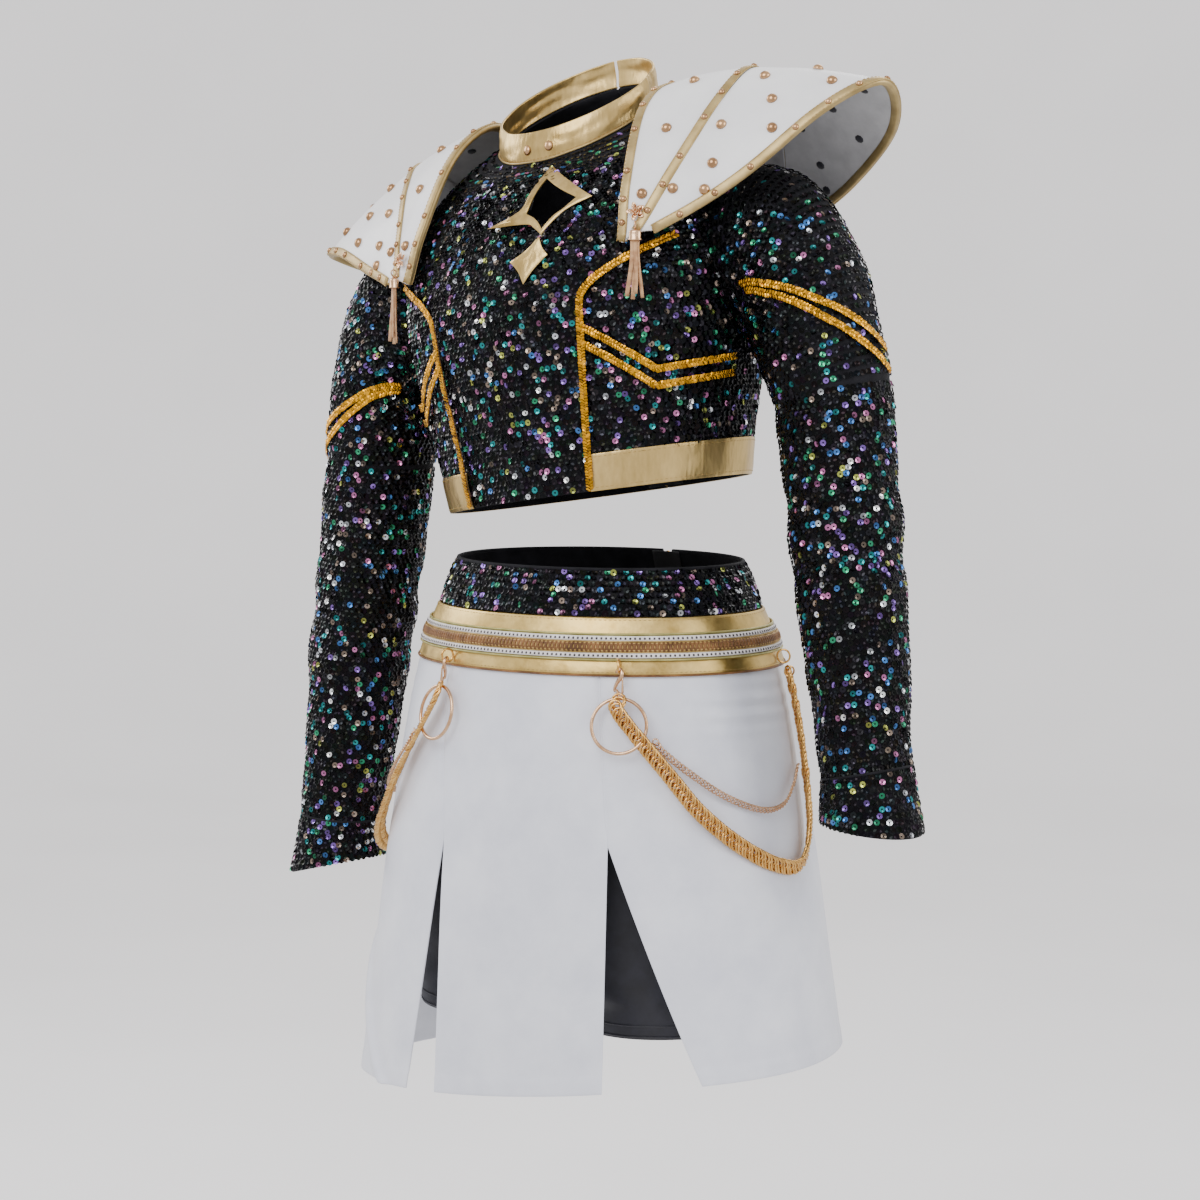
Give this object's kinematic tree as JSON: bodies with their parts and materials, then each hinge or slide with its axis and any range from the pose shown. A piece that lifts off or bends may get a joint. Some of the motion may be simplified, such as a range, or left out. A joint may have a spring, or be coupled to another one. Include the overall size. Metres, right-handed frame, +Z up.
{
  "type": "cheer uniform",
  "caption": "Two-piece cheer uniform worn on a form: long-sleeved cropped sequin top with studded shoulder pads and tassels, and a panelled satin skirt with belt, chains and shorts.",
  "frame": {"origin": "middle of the waist, at the height of the skirt's top edge, where the wearer or dress form holds the uniform", "axes": "+Z up; the uniform faces -Y; +X is the wearer's left"},
  "size_m": [0.5901, 0.3259, 0.8021],
  "materials": {
    "black_sequin": "black knit sewn all over with small cupped sequins that glint teal, green, blue and pink",
    "gold_foil_leather": "creased champagne gold foil leather, semi-gloss",
    "gold_sequin_braid": "narrow braid of overlapping orange-gold sequins",
    "belt_trim": "woven gold and brown braid between rows of small pale beads",
    "white_leather": "white leather with a fine grain, bound in matte gold, grey underneath",
    "white_satin": "cool white satin with a soft sheen",
    "black_spandex": "black stretch knit, slight sheen",
    "gold_chain": "polished warm gold plate",
    "rose_gold": "polished pale rose-gold plate",
    "rose_gold_suede": "flat rose-gold suede strips",
    "zip_tape": "black woven tape with fine teeth"
  },
  "bodies": {
    "top": {"front_panel": "black_sequin", "side_front_left": "black_sequin", "side_front_right": "black_sequin", "back_left": "black_sequin", "back_right": "black_sequin", "hem_band_left": "gold_foil_leather", "hem_band_right": "gold_foil_leather", "collar": "gold_foil_leather", "collar_stud_left": "rose_gold", "collar_stud_right": "rose_gold", "keyhole_frame": "gold_foil_leather", "diamond_applique": "gold_foil_leather", "princess_braid_left": "gold_sequin_braid", "princess_braid_right": "gold_sequin_braid", "sleeve_left": "black_sequin", "sleeve_right": "black_sequin", "cuff_left": "black_sequin", "cuff_right": "black_sequin", "sleeve_braid_upper_left": "gold_sequin_braid", "sleeve_braid_upper_right": "gold_sequin_braid", "sleeve_braid_lower_left": "gold_sequin_braid", "sleeve_braid_lower_right": "gold_sequin_braid", "epaulette_inner_left": "white_leather", "epaulette_inner_right": "white_leather", "rose_left": "rose_gold", "rose_right": "rose_gold", "jump_ring_left": "rose_gold", "jump_ring_right": "rose_gold", "top_zip_tape": "zip_tape"},
    "pad_left": {"epaulette_outer_left": "white_leather"},
    "pad_right": {"epaulette_outer_right": "white_leather"},
    "tassel_left": {"tassel_left": "rose_gold_suede"},
    "tassel_right": {"tassel_right": "rose_gold_suede"},
    "top_zip_slider": {"top_zip_slider": "gold_chain"},
    "skirt": {"waist_band": "black_sequin", "belt": "gold_foil_leather", "belt_trim": "belt_trim", "skirt_front_yoke": "white_satin", "skirt_side_left": "white_satin", "skirt_side_right": "white_satin", "skirt_back_left": "white_satin", "skirt_back_right": "white_satin", "shorts": "black_spandex", "skirt_zip_tape": "zip_tape", "belt_loop_front_left": "gold_chain", "belt_loop_front_right": "gold_chain", "belt_loop_rear_left": "gold_chain", "belt_loop_rear_right": "gold_chain"},
    "front_flap": {"skirt_front_flap": "white_satin"},
    "swag_left": {"clasp_left": "rose_gold", "o_ring_left": "rose_gold", "chain_left": "gold_chain", "thin_chain_left": "gold_chain"},
    "swag_right": {"clasp_right": "rose_gold", "o_ring_right": "rose_gold", "chain_right": "gold_chain", "thin_chain_right": "gold_chain"},
    "trigger_left": {"trigger_left": "rose_gold"},
    "trigger_right": {"trigger_right": "rose_gold"},
    "skirt_zip_slider": {"skirt_zip_slider": "gold_chain"}
  },
  "joints": [
    {"name": "skirt_slide", "type": "slide", "parent": "top", "child": "skirt", "axis": [0, 0, 1], "range_m": [-0.3, 0]},
    {"name": "pad_lift_left", "type": "hinge", "parent": "top", "child": "pad_left", "pos_m": [0.13998, 0, 0.37391], "axis": [0, -1, 0], "range_deg": [0, 25]},
    {"name": "pad_lift_right", "type": "hinge", "parent": "top", "child": "pad_right", "pos_m": [-0.17791, 0, 0.30537], "axis": [0, 1, 0], "range_deg": [0, 25]},
    {"name": "tassel_swing_left", "type": "hinge", "parent": "top", "child": "tassel_left", "pos_m": [0.1013, -0.1001, 0.25615], "axis": [-0.9025, -0.4307, 0], "range_deg": [0, 70]},
    {"name": "tassel_swing_right", "type": "hinge", "parent": "top", "child": "tassel_right", "pos_m": [-0.12338, -0.1001, 0.22102], "axis": [-0.9025, 0.4307, 0], "range_deg": [0, 70]},
    {"name": "top_zip_slide", "type": "slide", "parent": "top", "child": "top_zip_slider", "axis": [-0.0698, 0, 0.9976], "range_m": [-0.155, 0]},
    {"name": "flap_lift", "type": "hinge", "parent": "skirt", "child": "front_flap", "pos_m": [0, -0.14409, -0.206], "axis": [-1, 0, 0], "range_deg": [0, 60]},
    {"name": "swag_swing_left", "type": "hinge", "parent": "skirt", "child": "swag_left", "pos_m": [0.0893, -0.10327, -0.069], "axis": [-0.4374, -0.8993, 0], "range_deg": [0, 10]},
    {"name": "swag_swing_right", "type": "hinge", "parent": "skirt", "child": "swag_right", "pos_m": [-0.06083, -0.11605, -0.069], "axis": [-0.5408, 0.8412, 0], "range_deg": [0, 5]},
    {"name": "trigger_press_left", "type": "hinge", "parent": "swag_left", "child": "trigger_left", "pos_m": [0.09674, -0.10913, -0.08863], "axis": [-0.4023, -0.9079, 0.1176], "range_deg": [0, 25], "stiffness_Nm_per_rad": 0.004},
    {"name": "trigger_press_right", "type": "hinge", "parent": "swag_right", "child": "trigger_right", "pos_m": [-0.06099, -0.12522, -0.08863], "axis": [-0.9391, -0.3075, 0.1533], "range_deg": [0, 25], "stiffness_Nm_per_rad": 0.004},
    {"name": "skirt_zip_slide", "type": "slide", "parent": "skirt", "child": "skirt_zip_slider", "axis": [0, -0.2689, 0.9632], "range_m": [-0.115, 0]}
  ]
}
